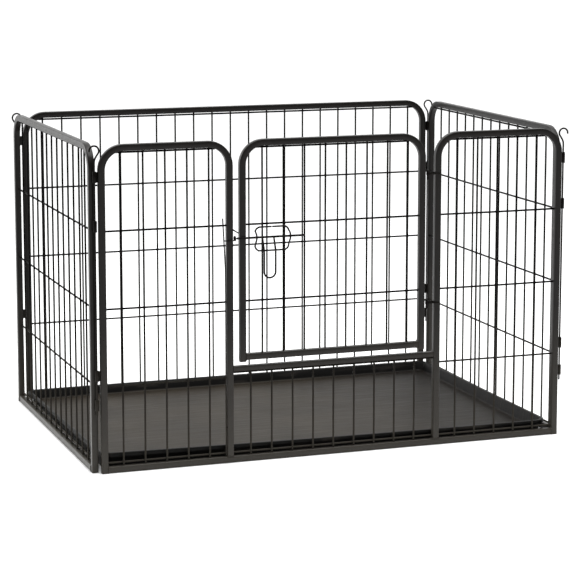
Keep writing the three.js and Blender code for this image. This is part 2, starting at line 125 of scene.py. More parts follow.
# %% [markdown]
# ## Square tube and round wire
# A square tube has rounded corners, because it is rolled from strip and welded, and its open end shows
# how thin the wall is. Carrying an outer and an inner outline along one path gives both. Wire needs only a
# circle, but its cut ends are rounded over, since a sharp disc catches the light in a way no coat does.

# %% Square tube and round wire
def rounded_square(half_wide, half_high, radius, steps=3):
    outline = []
    for i, (sx, sy) in enumerate(((1, 1), (-1, 1), (-1, -1), (1, -1))):
        for k in range(steps + 1):
            angle = (i + k / steps) * math.pi / 2
            outline.append((sx * (half_wide - radius) + radius * math.cos(angle),
                            sy * (half_high - radius) + radius * math.sin(angle)))
    return outline


def circle(radius, sides=12):
    return [(radius * math.cos(2 * math.pi * i / sides), radius * math.sin(2 * math.pi * i / sides))
            for i in range(sides)]


def hollow_tube(work, path, side, half_high=8):
    """Square tube with a 1.2 mm wall and open ends."""
    outer = rings_along(path, rounded_square(8, half_high, 2.2), side)
    inner = rings_along(path, rounded_square(6.8, half_high - 1.2, 1.2), side)
    size = len(outer[0])
    shift = len(outer) * size
    faces = skin(outer)
    faces += [tuple(i + shift for i in face) for face in skin(inner, inward=True)]
    last = (len(outer) - 1) * size
    for i in range(size):
        j = (i + 1) % size
        faces.append((j, i, shift + i, shift + j))
        faces.append((last + i, last + j, shift + last + j, shift + last + i))
    work.add([v for ring in outer + inner for v in ring], faces)


def wire(work, path, radius, sides=12):
    """Round wire. Cut ends are rounded over, as a barrelled or coated end is."""
    start = (path[1] - path[0]).normalized()
    end = (path[-1] - path[-2]).normalized()
    side = X if abs(start.x) < 0.8 else Z
    turns = [math.radians(a) for a in (82, 55, 25)]
    head = [path[0] + start * radius * (1 - math.sin(a)) / 1000 for a in turns]
    tail = [path[-1] - end * radius * (1 - math.sin(a)) / 1000 for a in reversed(turns)]
    middle = [path[0] + start * radius / 1000, *path[1:-1], path[-1] - end * radius / 1000]
    grow = [math.cos(a) for a in turns] + [1] * len(middle) + [math.cos(a) for a in reversed(turns)]
    rings = rings_along(head + middle + tail, circle(radius, sides), side, grow)
    faces = skin(rings)
    last = (len(rings) - 1) * sides
    faces.append(tuple(reversed(range(sides))))
    faces.append(tuple(last + i for i in range(sides)))
    work.add([v for ring in rings for v in ring], faces)


def through(points, steps=6):
    """A smooth path through points."""
    padded = [points[0] * 2 - points[1], *points, points[-1] * 2 - points[-2]]
    path = []
    for a, b, c, d in zip(padded, padded[1:], padded[2:], padded[3:]):
        for k in range(steps):
            t = k / steps
            path.append((b * 2 + (c - a) * t + (a * 2 - b * 5 + c * 4 - d) * t * t
                         + (b * 3 - a - c * 3 + d) * t * t * t) / 2)
    return path + [points[-1]]


def arc(centre, radius, start, end, steps):
    """Flat arc in millimetres, angles in degrees."""
    angles = [math.radians(start + (end - start) * i / steps) for i in range(steps + 1)]
    return [(centre[0] + radius * math.cos(a), centre[1] + radius * math.sin(a)) for a in angles]


# %% [markdown]
# ## Welds
# The wires are resistance welded: where two cross, they sink into each other and a little metal is
# squeezed out. The tubes are arc welded, which leaves a rippled seam round the joint. Both are small,
# but an edge that just stops looks like a drawing, so each crossing gets a bead and each joint a seam.

# %% Weld beads and seams
dice = random.Random(7)
ball = bmesh.new()
bmesh.ops.create_icosphere(ball, subdivisions=1, radius=1)
BALL_VERTS = [v.co.copy() for v in ball.verts]
BALL_FACES = [tuple(v.index for v in f.verts) for f in ball.faces]
ball.free()


def bead(work, centre, size):
    """A small lump of squeezed-out metal, never quite the same twice."""
    size = Vector(size) / 1000 * dice.uniform(0.9, 1.12)
    work.add([centre + Vector((v.x * size.x, v.y * size.y, v.z * size.z)) for v in BALL_VERTS], BALL_FACES)


def seam(work, centre, normal, across, half_wide, half_high, radius=1.3):
    """A rippled weld round the end of a tube. It hugs the tube's outline at centre, facing normal."""
    other = normal.cross(across)
    outline = rounded_square(half_wide + 0.2, half_high + 0.2, 2.2, 5)
    dense = []
    for (u0, v0), (u1, v1) in zip(outline, outline[1:] + outline[:1]):
        parts = max(1, round(math.hypot(u1 - u0, v1 - v0) / 1.4))
        dense += [(u0 + (u1 - u0) * k / parts, v0 + (v1 - v0) * k / parts) for k in range(parts)]
    path = [centre + (across * u + other * v) / 1000 for u, v in dense]
    swell = [1 + 0.16 * math.sin(i * 2.1) + dice.uniform(-0.08, 0.08) for i in range(len(path))]
    rings = rings_along(path, circle(radius, 8), normal, swell, closed=True)
    # A seam on the underside is ground flush, so that the rail lies flat on the floor.
    ground = [Vector((v.x, v.y, max(v.z, 0.0001))) for ring in rings for v in ring]
    work.add(ground, skin(rings, closed=True))


# %% [markdown]
# ## Finishes
# Steel is dull grey until it is coated. This pen is powder coated: a dry plastic powder is baked on and
# melts into a tough black-brown film with a faint orange-peel texture. Light slides off it in soft
# streaks, and corners are painted a little lighter: brown where the film is thin, plus a painted highlight.
# The tray is moulded polypropylene, black in the walls and darkened there with painted shade, with a fine
# pebble grain and scuffs on its floor that turn grey at a low angle.

# %% Colour and node helpers
def linear(hex_colour):
    """An sRGB hex colour as the linear numbers that shaders use."""
    parts = [int(hex_colour[i:i + 2], 16) / 255 for i in (1, 3, 5)]
    return [p / 12.92 if p <= 0.04045 else ((p + 0.055) / 1.055) ** 2.4 for p in parts] + [1]


def add_node(tree, kind, settings=None, **links):
    """Adds a node. settings sets its options, plain inputs and ramp stops, links joins its other inputs."""
    node = tree.nodes.new(kind)
    for name, value in (settings or {}).items():
        if name == "stops":
            for _ in value[2:]:
                node.color_ramp.elements.new(0.5)
            for element, (position, colour) in zip(node.color_ramp.elements, value):
                element.position = position
                element.color = linear(colour) if isinstance(colour, str) else [colour] * 3 + [1]
        elif isinstance(name, int) or name in node.inputs:
            node.inputs[name].default_value = value
        else:
            setattr(node, name, value)
    for name, output in links.items():
        key = int(name[2:]) if name.startswith("in") and name[2:].isdigit() else name.replace("_", " ")
        tree.links.new(output, node.inputs[key])
    return node


def blank_material(name):
    material = bpy.data.materials.new(name)
    material.use_nodes = True
    tree = material.node_tree
    tree.nodes.clear()
    place = add_node(tree, "ShaderNodeTexCoord")
    return material, tree, place.outputs["Object"]


def finish_surface(tree, colour, roughness, height, depth_mm, **settings):
    """Joins colour, roughness and relief to a shader."""
    bump = add_node(tree, "ShaderNodeBump", {"Strength": 1, "Distance": depth_mm / 1000}, Height=height)
    shader = add_node(tree, "ShaderNodeBsdfPrincipled", settings, Base_Color=colour,
                      Roughness=roughness, Normal=bump.outputs["Normal"])
    add_node(tree, "ShaderNodeOutputMaterial", None, Surface=shader.outputs["BSDF"])


# %% [markdown]
# ## Powder coat
# A baked powder film could be one flat colour, but three slow changes make it steel: a cloudy shift
# between black and brown, a rub and a painted highlight on sharp corners, and a painted lightening near
# the floor. The film's texture is a shallow bump, as its bubbles are far too small to model.

# %% Powder-coated steel
def powder_coat(name, base, warm, edge_wear_and_highlight, gloss, edge, shine):
    """gloss holds the smooth and the rough end of its roughness. The fourth colour goes on sharp edges:
    partly wear where the film is thin, partly a painted highlight.
    """
    material, tree, place = blank_material(name)
    cloud = add_node(tree, "ShaderNodeTexNoise", {"Scale": 1 / 0.070, "Detail": 3.0}, Vector=place)
    tone = add_node(tree, "ShaderNodeValToRGB", {"stops": [(0.3, base), (0.7, warm)]},
                    Fac=cloud.outputs["Fac"])
    # Near the floor the coat is painted paler. This is painted light: low down, in front of the dark tray,
    # the coat catches light and looks grey.
    spread = add_node(tree, "ShaderNodeSeparateXYZ", Vector=place)
    low = add_node(tree, "ShaderNodeMapRange", {"From Min": 0.35, "From Max": 0.0},
                   Value=spread.outputs["Z"])
    paler_low_painted_light = add_node(tree, "ShaderNodeMix", {"data_type": "RGBA", 7: linear("#37342f")},
                     in0=low.outputs["Result"], in6=tone.outputs["Color"])
    # The orange peel is really about 0.6 mm across. It is drawn at 1.6 mm so that it shows.
    peel = add_node(tree, "ShaderNodeTexNoise", {"Scale": 1 / 0.0016, "Detail": 2.0}, Vector=place)
    # Sharp edges are painted lighter: partly a rub where the film is thin, partly a painted highlight.
    sharpness = add_node(tree, "ShaderNodeNewGeometry")
    edges = add_node(tree, "ShaderNodeValToRGB", {"stops": [(edge, 0.0), (edge + 0.1, 1.0)]},
                     Fac=sharpness.outputs["Pointiness"])
    patchy = add_node(tree, "ShaderNodeTexNoise", {"Scale": 1 / 0.012, "Detail": 4.0}, Vector=place)
    rubbed_and_highlighted_edges = add_node(tree, "ShaderNodeMath", {"operation": "MULTIPLY"},
                      in0=edges.outputs["Color"], in1=patchy.outputs["Fac"])
    shown = add_node(tree, "ShaderNodeMix", {"data_type": "RGBA", 7: linear(edge_wear_and_highlight)},
                     in0=rubbed_and_highlighted_edges.outputs[0], in6=paler_low_painted_light.outputs[2])
    polish = add_node(tree, "ShaderNodeValToRGB", {"stops": [(0.25, gloss[0]), (0.75, gloss[1])]},
                      Fac=patchy.outputs["Fac"])
    finish_surface(tree, shown.outputs[2], polish.outputs["Color"], peel.outputs["Fac"], 0.05,
                   Metallic=0.0, IOR=1.5, **{"Specular IOR Level": shine})
    return material


# Wire carries a thinner, duller film than tube, so it looks blacker and hardly shines.
coated_tube = powder_coat("powder_coated_square_tube", "#0f0d0b", "#151210", "#38322c",
                          gloss=(0.26, 0.40), edge=0.56, shine=0.2)
coated_wire = powder_coat("powder_coated_round_wire", "#050404", "#080707", "#141210",
                          gloss=(0.34, 0.46), edge=0.7, shine=0.03)
coated_fittings = powder_coat("powder_coated_bent_fittings", "#0a0908", "#14110f", "#38322c",
                              gloss=(0.26, 0.46), edge=0.6, shine=0.05)
print("steel finishes:", [m.name for m in bpy.data.materials])


# %% [markdown]
# ## Moulded plastic
# Polypropylene comes out of the mould with the mould's own fine pebble grain. The eye reads it as plastic
# by its broad, weak sheen. Rubbing by paws and bedding greys the floor in long faint streaks.

# %% Moulded polypropylene tray
def moulded_polypropylene():
    material, tree, place = blank_material("moulded_black_polypropylene")
    cloud = add_node(tree, "ShaderNodeTexNoise", {"Scale": 1 / 0.180, "Detail": 4.0}, Vector=place)
    worn_tone = add_node(tree, "ShaderNodeValToRGB", {"stops": [(0.3, "#221e18"), (0.7, "#2d2820")]},
                          Fac=cloud.outputs["Fac"])
    # The floor looks grey. The walls are painted blacker: partly the plastic's own black where nothing
    # rubs, partly painted shade on the walls.
    spread = add_node(tree, "ShaderNodeSeparateXYZ", Vector=place)
    wall = add_node(tree, "ShaderNodeMapRange", {"From Min": 0.0036, "From Max": 0.0075},
                    Value=spread.outputs["Z"])
    # The floor is painted darker towards the right as well: painted shade, away from the light on the left.
    painted_shade_towards_right = add_node(tree, "ShaderNodeMapRange", {"From Min": 0.05, "From Max": 0.5, "To Max": 0.8},
                       Value=spread.outputs["X"])
    floor_tone_with_painted_shade = add_node(tree, "ShaderNodeMix", {"data_type": "RGBA", 7: linear("#0d0b09")},
                          in0=painted_shade_towards_right.outputs["Result"], in6=worn_tone.outputs["Color"])
    tone = add_node(tree, "ShaderNodeMix", {"data_type": "RGBA", 7: linear("#0b0a09")},
                    in0=wall.outputs["Result"], in6=floor_tone_with_painted_shade.outputs[2])
    # Pebble grain is about 0.8 mm on the mould. It is drawn at 2 mm.
    pebble = add_node(tree, "ShaderNodeTexVoronoi", {"Scale": 1 / 0.002}, Vector=place)
    # Scuffs follow the way the tray slides: long along X, thin across.
    drawn_out = add_node(tree, "ShaderNodeMapping", {"Scale": (2.2, 60, 1), "Rotation": (0, 0, 0.12)},
                         Vector=place)
    scuff = add_node(tree, "ShaderNodeTexNoise", {"Scale": 3.0, "Detail": 6.0}, Vector=drawn_out.outputs[0])
    marks = add_node(tree, "ShaderNodeValToRGB", {"stops": [(0.54, 0.0), (0.72, 0.24)]},
                     Fac=scuff.outputs["Fac"])
    shown = add_node(tree, "ShaderNodeMix", {"data_type": "RGBA", 7: linear("#57504a")},
                     in0=marks.outputs["Color"], in6=tone.outputs[2])
    polish = add_node(tree, "ShaderNodeValToRGB", {"stops": [(0.35, 0.42), (0.7, 0.56)]},
                      Fac=scuff.outputs["Fac"])
    finish_surface(tree, shown.outputs[2], polish.outputs["Color"], pebble.outputs["Distance"], 0.06,
                   Metallic=0.0, IOR=1.5, **{"Specular IOR Level": 0.1})
    return material


tray_plastic = moulded_polypropylene()
print("tray finish:", tray_plastic.name)


# %% [markdown]
# ## From work to object
# Each finished piece stands for one solid of the frame, hides it and moves with its body. Faces that meet
# at a shallow angle are shaded smooth, and hard corners stay crisp.

# %% Finishing a piece
def finish_piece(work, name, material, stock, body, *stands_for, crisp=38):
    mesh = bpy.data.meshes.new(name)
    mesh.from_pydata(work.verts, [], work.faces)
    mesh.validate()
    mesh.polygons.foreach_set("use_smooth", [True] * len(mesh.polygons))
    mesh.set_sharp_from_angle(angle=math.radians(crisp))
    mesh.materials.append(material)
    piece = bpy.data.objects.new(name, mesh)
    bpy.context.scene.collection.objects.link(piece)
    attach(piece, body)
    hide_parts(*stands_for)
    return piece


# %% [markdown]
# ## Panel frames
# Each panel's frame is one length of square tube bent into an upside-down U, with a straight rail welded
# across its feet. The bend is about four tube widths in radius, which is what a pipe bender gives before
# the wall buckles. Each leg is left open at the bottom.

# %% Arches and rails
def arch_path(start, end, foot, place):
    """Centre line of an arch. place turns a distance along the panel and a height into a spot."""
    reach = BEND - TUBE / 2
    top = HEIGHT - BEND
    flat = [(start, foot), (start, foot + 20), (start, top - 12)]
    flat += arc((start + reach, top), reach, 180, 90, 14)
    flat += arc((end - reach, top), reach, 90, 0, 14)
    flat += [(end, top - 12), (end, foot + 20), (end, foot)]
    return [place(u, z) for u, z in flat]


def along_x(y):
    return lambda u, z: spot(u, y, z)


def along_y(x):
    return lambda u, z: spot(x, u, z)


def make_arch(node, start, end, place, body, foot=0):
    work = Work()
    path = arch_path(start, end, foot, place)
    hollow_tube(work, path, place(1, 0) - place(0, 0))
    return finish_piece(work, f"{node}_tube", coated_tube, "coated_tube", body, node)


def make_rail(node, start, end, place, body, height=8, half_high=8):
    work = Work()
    lengthwise = (place(1, 0) - place(0, 0)).normalized()
    sideways = Z.cross(lengthwise)
    hollow_tube(work, [place(start, height), place(start + 30, height), place(end - 30, height),
                       place(end, height)], sideways, half_high)
    for u in (start, end):
        seam(work, place(u, height), lengthwise, sideways, 8, half_high)
    return finish_piece(work, f"{node}_tube", coated_tube, "coated_tube", body, node)


PANELS = {
    "back": (28, 1205, along_x(BACK)),
    "left": (16.5, 832, along_y(LEFT)),
    "right": (16.5, 832, along_y(RIGHT)),
}
for panel, (start, end, place) in PANELS.items():
    make_arch(f"{panel}_arch", start, end, place, "panels")
    make_rail(f"{panel}_bottom_rail", start + 8.2, end - 8.2, place, "panels")

# %% [markdown]
# The front panel is two bays with the doorway between them. Only its two outer legs reach the floor. The
# two inner legs stand on the long bottom rail, so each has a weld round its foot.

# %% Front panel and doorway
FRONT_PLACE = along_x(FRONT)
LATCH_POST, HINGE_POST = 339.5, 888.5


def make_bay(node, outer, inner):
    work = Work()
    path = arch_path(outer, inner, 16.3, FRONT_PLACE)
    if outer < inner:
        path = [spot(outer, 0, 0), *path]
    else:
        path = [spot(outer, 0, 0), *arch_path(inner, outer, 16.3, FRONT_PLACE)[::-1]]
    hollow_tube(work, path, X)
    seam(work, spot(inner, 0, 16.6), Z, X, 8, 8)
    return finish_piece(work, f"{node}_tube", coated_tube, "coated_tube", "panels", node)


make_bay("front_left_arch", 20.5, LATCH_POST)
make_bay("front_right_arch", 1222.5, HINGE_POST)
make_rail("front_bottom_rail", 28.8, 1214.2, FRONT_PLACE, "panels")
make_rail("door_threshold", LATCH_POST + 8.3, HINGE_POST - 8.3, FRONT_PLACE, "panels",
          height=235.5, half_high=6.5)
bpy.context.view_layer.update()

# %% [markdown]
# ## The door frame
# The door is a smaller arch. Its stiles run a little way past its bottom rail and end as cut tube. A
# thin lip of the wall shows at each end.

# %% Door frame
STILES = (372.5, 846)
make_arch("door_arch", *STILES, FRONT_PLACE, "door", foot=251.5)
make_rail("door_bottom_rail", STILES[0] + 8.2, STILES[1] - 8.2, FRONT_PLACE, "door", height=263.5)
print("doorway between stiles:", STILES[1] - STILES[0], "mm")

# %% [markdown]
# ## Welded wire mesh
# Straight wires of about 4 mm are laid out in a jig, uprights in front and level wires behind, and welded
# wherever they cross. The ends are then welded to the tube. Making every wire a real cylinder, with its
# own slight bow, costs little and gives true shadows and gaps from all sides. The wires are drawn at
# 4.8 mm, because a line this fine renders thinner and paler than it looks to the eye.

# %% Wires
LEVELS = [23.5 + 189.2 * i for i in range(5)]
WIRE = 2.4
SINK = 0.5


def inside_bend(u, start, end):
    """Height at which an upright meets the underside of the arch."""
    inner = BEND - TUBE
    edge = min(u - start - TUBE / 2, end - TUBE / 2 - u)
    if edge >= inner:
        return HEIGHT - TUBE
    return HEIGHT - BEND + math.sqrt(max(0, inner ** 2 - (inner - edge) ** 2))


def level_reach(z):
    """How far a level wire stops short of a post's face inside the bend."""
    rise = z - (HEIGHT - BEND)
    inner = BEND - TUBE
    return inner - math.sqrt(inner ** 2 - rise ** 2) if rise > 0 else 0


def make_mesh(node, posts, uprights, levels, foot, spot_at, body, top=None):
    """spot_at(u, v, z) is a spot at u along the panel, v towards the inside of the pen and height z."""
    work = Work()
    start, end = posts
    depth = 2 * WIRE - SINK
    for u in uprights:
        high = top or inside_bend(u, start, end)
        bow = dice.uniform(-0.5, 0.5)
        heights = [foot - 0.4, foot + (high - foot) * 0.33, foot + (high - foot) * 0.66, high + 0.4]
        wire(work, [spot_at(u, 0, heights[0]), spot_at(u + bow, 0, heights[1]),
                    spot_at(u + bow * 0.7, 0, heights[2]), spot_at(u, 0, heights[3])], WIRE, sides=10)
        bead(work, spot_at(u, 0, foot + 0.2), (3, 3, 1.3))
        bead(work, spot_at(u, 0, high - 0.2), (3, 3, 1.3))
        for z in levels:
            bead(work, spot_at(u, depth / 2, z), (2.6, 2.4, 2.6))
    for z in levels:
        gap = level_reach(z) if not top else 0
        low, high = start + TUBE / 2 + gap, end - TUBE / 2 - gap
        sag = dice.uniform(-0.6, 0.2)
        wire(work, [spot_at(low - 0.4, depth, z), spot_at((low + high) / 2, depth, z + sag),
                    spot_at(high + 0.4, depth, z)], WIRE, sides=10)
        for u in (low + 0.2, high - 0.2):
            bead(work, spot_at(u, depth, z), (2.8, 2.8, 2.8))
    print(node, len(uprights), "uprights,", len(levels), "level wires")
    return finish_piece(work, f"{node}_wires", coated_wire, "coated_wire", body, node)


def row(first, pitch, count):
    return [first + pitch * i for i in range(count)]


def front_at(u, v, z):
    return spot(u, FRONT + v, z)


make_mesh("back_mesh", (28, 1205), row(75.5, 54.15, 21), LEVELS, TUBE,
          lambda u, v, z: spot(u, BACK - v, z), "panels")
make_mesh("left_mesh", (16.5, 832), row(79.5, 56.7, 13), LEVELS, TUBE,
          lambda u, v, z: spot(LEFT + v, u, z), "panels")
make_mesh("right_mesh", (16.5, 832), row(79.5, 56.7, 13), LEVELS, TUBE,
          lambda u, v, z: spot(RIGHT - v, u, z), "panels")
make_mesh("front_left_mesh", (20.5, LATCH_POST), row(68.3, 54.9, 5), LEVELS, TUBE, front_at, "panels")
make_mesh("front_right_mesh", (HINGE_POST, 1222.5), row(942.6, 54.9, 5), LEVELS, TUBE, front_at, "panels")
make_mesh("below_door_mesh", (LATCH_POST, HINGE_POST), row(394, 54.4, 9), [23.5, 225], TUBE, front_at,
          "panels", top=229)
make_mesh("door_mesh", STILES, row(424, 54.9, 8), LEVELS[2:], 271.5, front_at, "door")

# %% [markdown]
# ## Corner barrels and pins
# Each corner has four short barrels, two welded to each panel at different heights so that they pass
# like the knuckles of a door hinge. A long pin drops through all four. Its top is bent into an open ring
# for a finger. A barrel is turned on a lathe in real life, so here a profile is spun round its axis.

# %% Barrels
def spun(work, centre, profile, sides=20):
    """A closed profile of (radius, height) pairs spun round an upright line through centre."""
    rings = []
    for i in range(sides):
        angle = 2 * math.pi * i / sides
        out = Vector((math.cos(angle), math.sin(angle), 0))
        rings.append([centre + (out * r + Z * z) / 1000 for r, z in profile])
    work.add([v for ring in rings for v in ring], skin(rings, closed=True))


def barrel_profile(outer, bore, length):
    low, high = -length / 2, length / 2
    lip = 0.7
    return [(bore, low + lip), (bore, high - lip), (bore + lip * 0.5, high - 0.1), (outer - lip, high),
            (outer, high - lip), (outer, low + lip), (outer - lip, low), (bore + lip * 0.5, low + 0.1)]


def tab(work, start, end, thick, height):
    """A flat strap between two spots at one height, with softened edges."""
    lengthwise = (end - start).normalized()
    section = rounded_square(thick / 2, height / 2, 0.8, 2)
    rings = rings_along([start, (start + end) / 2, end], section, lengthwise.cross(Z))
    size = len(section)
    faces = skin(rings)
    faces.append(tuple(reversed(range(size))))
    faces.append(tuple(2 * size + i for i in range(size)))
    work.add([v for ring in rings for v in ring], faces)


def make_barrel(node, centre, direction, reach):
    """centre is the barrel's middle, direction points to the post, reach is the distance to its face."""
    work = Work()
    spun(work, centre, barrel_profile(5, 3.1, 27))
    start = centre + direction * 0.0042
    end = centre + direction * (reach / 1000)
    tab(work, start, end, 3, 25)
    # A run of weld down each side of the strap, at the post and at the barrel.
    for at in (end, start + direction * 0.0009):
        for side in (1, -1):
            base = at + direction.cross(Z) * (side * 0.0016)
            path = [base + Z * (z / 1000) for z in range(-12, 13, 2)]
            wire(work, [p + direction * (dice.uniform(-0.25, 0.25) / 1000) for p in path], 1.1, sides=8)
    return finish_piece(work, f"{node}_turned", coated_fittings, "fittings", "panels", node, crisp=50)


CROSS_LEVELS = (723, 241)
SIDE_LEVELS = (604.5, 169)
CORNERS = {
    "front_left": ((4, 0), (X, 8.3), (Y, 8.3), 1),
    "front_right": ((1236.8, 0), (-X, 6.1), (Y, 19.8), -1),
    "back_left": ((4, 848), (X, 15.8), (-Y, 7.8), -1),
    "back_right": ((1222.5, 848), (-X, 9.3), (-Y, 7.8), -1),
}
for name, ((px, py), (cross_way, cross_reach), (side_way, side_reach), _) in CORNERS.items():
    for i, level in enumerate(("upper", "lower")):
        make_barrel(f"{name}_cross_barrel_{level}", spot(px, py, CROSS_LEVELS[i]), cross_way, cross_reach)
        make_barrel(f"{name}_side_barrel_{level}", spot(px, py, SIDE_LEVELS[i]), side_way, side_reach)
print("barrels at heights", sorted(CROSS_LEVELS + SIDE_LEVELS))

# %% [markdown]
# The pin is 4.5 mm rod. A bender leaves a smooth neck between the straight part and the ring, so the
# path is a smooth curve through a few measured spots rather than a straight line and a circle.

# %% Pins
RING_Z, RING_RADIUS = 786, 11.75


def make_pin(name, px, py, way):
    work = Work()
    flat = [(0, 142), (0, 300), (0, 600), (0, 745), (0.1, 758), (1.9, 767)]
    flat += arc((0, RING_Z), RING_RADIUS, -38, 195, 22)
    path = [spot(px + way * u, py, z) for u, z in flat]
    bent = path[:4] + through(path[3:7], 5)[1:-1] + path[6:]
    wire(work, bent, 2.2, sides=12)
    return finish_piece(work, f"{name}_drop_pin", coated_fittings, "fittings", f"{name}_pin", f"{name}_pin")


for name, ((px, py), _, _, way) in CORNERS.items():
    make_pin(name, px, py, way)
print("drop pins:", len(CORNERS), "with rings", 2 * RING_RADIUS, "mm across")

# %% [markdown]
# ## Door hinges
# An eye of flat-bottomed rod is welded across the hinge post, and an L-shaped hook on the door's stile
# drops into it. Lifting is not needed to swing the door, only to take it off.

# %% Hinge eyes and hooks
HINGE_X, HINGE_LEVELS = 863, (697, 369)
for level, z in zip(("upper", "lower"), HINGE_LEVELS):
    work = Work()
    spun(work, spot(HINGE_X, 0, z), barrel_profile(5, 3, 8))
    # The arm keeps close to the post's corner, or the open door would strike it.
    bends = [(3.5, -1.5), (9, -2.6), (12.5, -3.2), (15, -5.2), (15.9, -8), (18.6, -9.8), (23, -9.9),
             (31.5, -9.8)]
    arm = [spot(HINGE_X + u, v, z) for u, v in bends]
    wire(work, through(arm, 4), 1.8)
    tab(work, spot(HINGE_X + 4.2, 0, z), spot(HINGE_POST - 7.9, 0, z), 3, 7)
    for u in (19, 26, 31):
        bead(work, spot(HINGE_X + u, -8.4, z - 1.8), (2.2, 1.2, 1.1))
    finish_piece(work, f"hinge_eye_{level}", coated_fittings, "fittings", "panels",
                 f"door_hinge_eye_{level}", crisp=50)
    hook = Work()
    bend = [spot(854.2, 0, z + 7), spot(857, 0, z + 7), spot(860.5, 0, z + 6.6), spot(862.6, 0, z + 4.2),
            spot(HINGE_X, 0, z), spot(HINGE_X, 0, z - 8), spot(HINGE_X, 0, z - 16)]
    wire(hook, through(bend, 4), 2.5)
    bead(hook, spot(854.6, 0, z + 7), (1.4, 3.8, 3.8))
    finish_piece(hook, f"hinge_hook_{level}", coated_fittings, "fittings", "door",
                 f"door_hinge_hook_{level}")
print("hinges at heights", HINGE_LEVELS)

# %% [markdown]
# ## The sliding bolt
# The bolt is a plain rod in front of the stile. A loop of wire welded to two of the door's uprights
# holds it: both ends of the loop bow forward over the rod. A long U of wire hangs from the rod as a
# handle, and its legs lean out over the loop's lower bar. On the latch post, a wire eye takes the tip.

# %% Bolt, handle and guide loop
# The bent wires here are drawn a few tenths of a millimetre stout, for the same reason as the mesh.
BOLT_Y, BOLT_Z = -11.5, 560
bolt = Work()
wire(bolt, [spot(x, BOLT_Y, BOLT_Z) for x in (353.6, 400, 460, 532)], 2.7, sides=16)
finish_piece(bolt, "bolt_round_bar", coated_fittings, "fittings", "bolt", "bolt_rod")

handle = Work()
LEGS = (420.5, 450)
lean = [(-13.4, 556.5), (-17.6, 547), (-22.8, 536), (-25.6, 527), (-26, 517), (-26, 491)]
down = [spot(LEGS[0], y, z) for y, z in lean]
turn = [spot(x, -26, z) for x, z in arc((sum(LEGS) / 2, 476), (LEGS[1] - LEGS[0]) / 2, 180, 360, 14)]
up = [spot(LEGS[1], y, z) for y, z in reversed(lean)]
wire(handle, through(down, 4)[:-1] + [down[-1]] + turn + through(up, 4), 2.3, sides=12)
for x in LEGS:
    bead(handle, spot(x, -13.2, 557.2), (2.7, 2.2, 2.2))
finish_piece(handle, "bolt_pull_loop", coated_fittings, "fittings", "bolt_handle", "bolt_handle")

GUIDE_BACK = -3.85
GUIDE_FRONT = BOLT_Y - 2.75 - 0.8 - 1.8
GUIDE = (404.5, 491.5, 525.5, 584)


def guide_outline():
    x0, x1, z0, z1 = GUIDE
    r = 13
    flat = arc((x0 + r, z1 - r), r, 90, 180, 6)
    flat += [(x0, BOLT_Z + 9), (x0, BOLT_Z + 5), (x0, BOLT_Z), (x0, BOLT_Z - 5), (x0, BOLT_Z - 9)]
    flat += arc((x0 + r, z0 + r), r, 180, 270, 6)
    flat += arc((x1 - r, z0 + r), r, 270, 360, 6)
    flat += [(x1, BOLT_Z - 9), (x1, BOLT_Z - 5), (x1, BOLT_Z), (x1, BOLT_Z + 5), (x1, BOLT_Z + 9)]
    flat += arc((x1 - r, z1 - r), r, 0, 90, 6)
    return flat


guide = Work()
loop = []
for x, z in guide_outline():
    over = math.exp(-(((z - BOLT_Z) / 12) ** 4)) if x in GUIDE[:2] else 0
    loop.append(spot(x, GUIDE_BACK + (GUIDE_FRONT - GUIDE_BACK) * over, z))
middle_top = spot((GUIDE[0] + GUIDE[1]) / 2, GUIDE_BACK, GUIDE[3])
smooth = through([middle_top - X * 0.0003] + loop + [middle_top + X * 0.0003], 3)
wire(guide, smooth, 2.1)
for x in (424, 478.9):
    for z in GUIDE[2:]:
        bead(guide, spot(x, -2, z), (2.2, 1.7, 2.4))
finish_piece(guide, "bolt_guide_loop", coated_fittings, "fittings", "door", "bolt_guide")
print("guide loop", GUIDE[1] - GUIDE[0], "x", GUIDE[3] - GUIDE[2], "mm")

# %% [markdown]
# ## Keeper and door stop
# The keeper is one small ring beside the latch post, on an arm from a long wire that stands on the bottom
# rail and leans away at its top. A slanted wire behind the post stops the door from swinging inwards.
# Both are bent by hand in real life, so their paths run smoothly through a few spots.

# %% Keeper and door stop
keeper = Work()
LEG_X = LATCH_POST - 8 - 1.6 - 1.2
wire(keeper, through([spot(LEG_X, -3, 16.4), spot(LEG_X, -3, 230), spot(LEG_X, -3, 446),
                      spot(LEG_X - 1.5, -3, 507), spot(LEG_X - 7, -3, 610)], 4), 1.7)
reach = 2.75 + 0.9 + 1.6
arm = [spot(LEG_X - 4, -2.5, 555), spot(LEG_X - 3, -7.5, 555), spot(LEG_X + 0.5, -10.1, 555),
       spot(LEG_X + 9, -9.9, 555), spot(348.5, -9.9, 555)]
wire(keeper, through(arm, 4), 1.55)
eye = [spot(350, BOLT_Y + u, BOLT_Z + v) for u, v in arc((0, 0), reach, -88, 264, 24)]
wire(keeper, eye, 1.8)
bead(keeper, spot(LEG_X + 2, -9.1, 555), (3, 1.6, 2.2))
finish_piece(keeper, "keeper_eye_and_leg", coated_fittings, "fittings", "panels", "bolt_keeper")

stop = Work()
wire(stop, through([spot(LATCH_POST - 6, 9.9, 587), spot(LATCH_POST + 6, 9.9, 584), spot(356, 9.9, 576),
                    spot(STILES[0] + 5, 9.9, 563)], 4), 1.6)
bead(stop, spot(LATCH_POST, 8.8, 586), (4, 1.4, 2.6))
finish_piece(stop, "door_stop_wire", coated_fittings, "fittings", "panels", "door_stop")
print("keeper ring", round(2 * reach, 1), "mm across its wire's centre line")

# %% [markdown]
# ## The floor tray
# The tray is one sheet of plastic with a sloping wall and a rolled rim. One profile is carried round a
# rounded rectangle, and the floor is filled with ever smaller rings, so that it can dip and rise a
# little as a thin moulding does. The rim is not quite level: the front left corner stands up.

# %% Tray
TRAY = (13, 1214, 13, 835)
TRAY_CORNER = 34


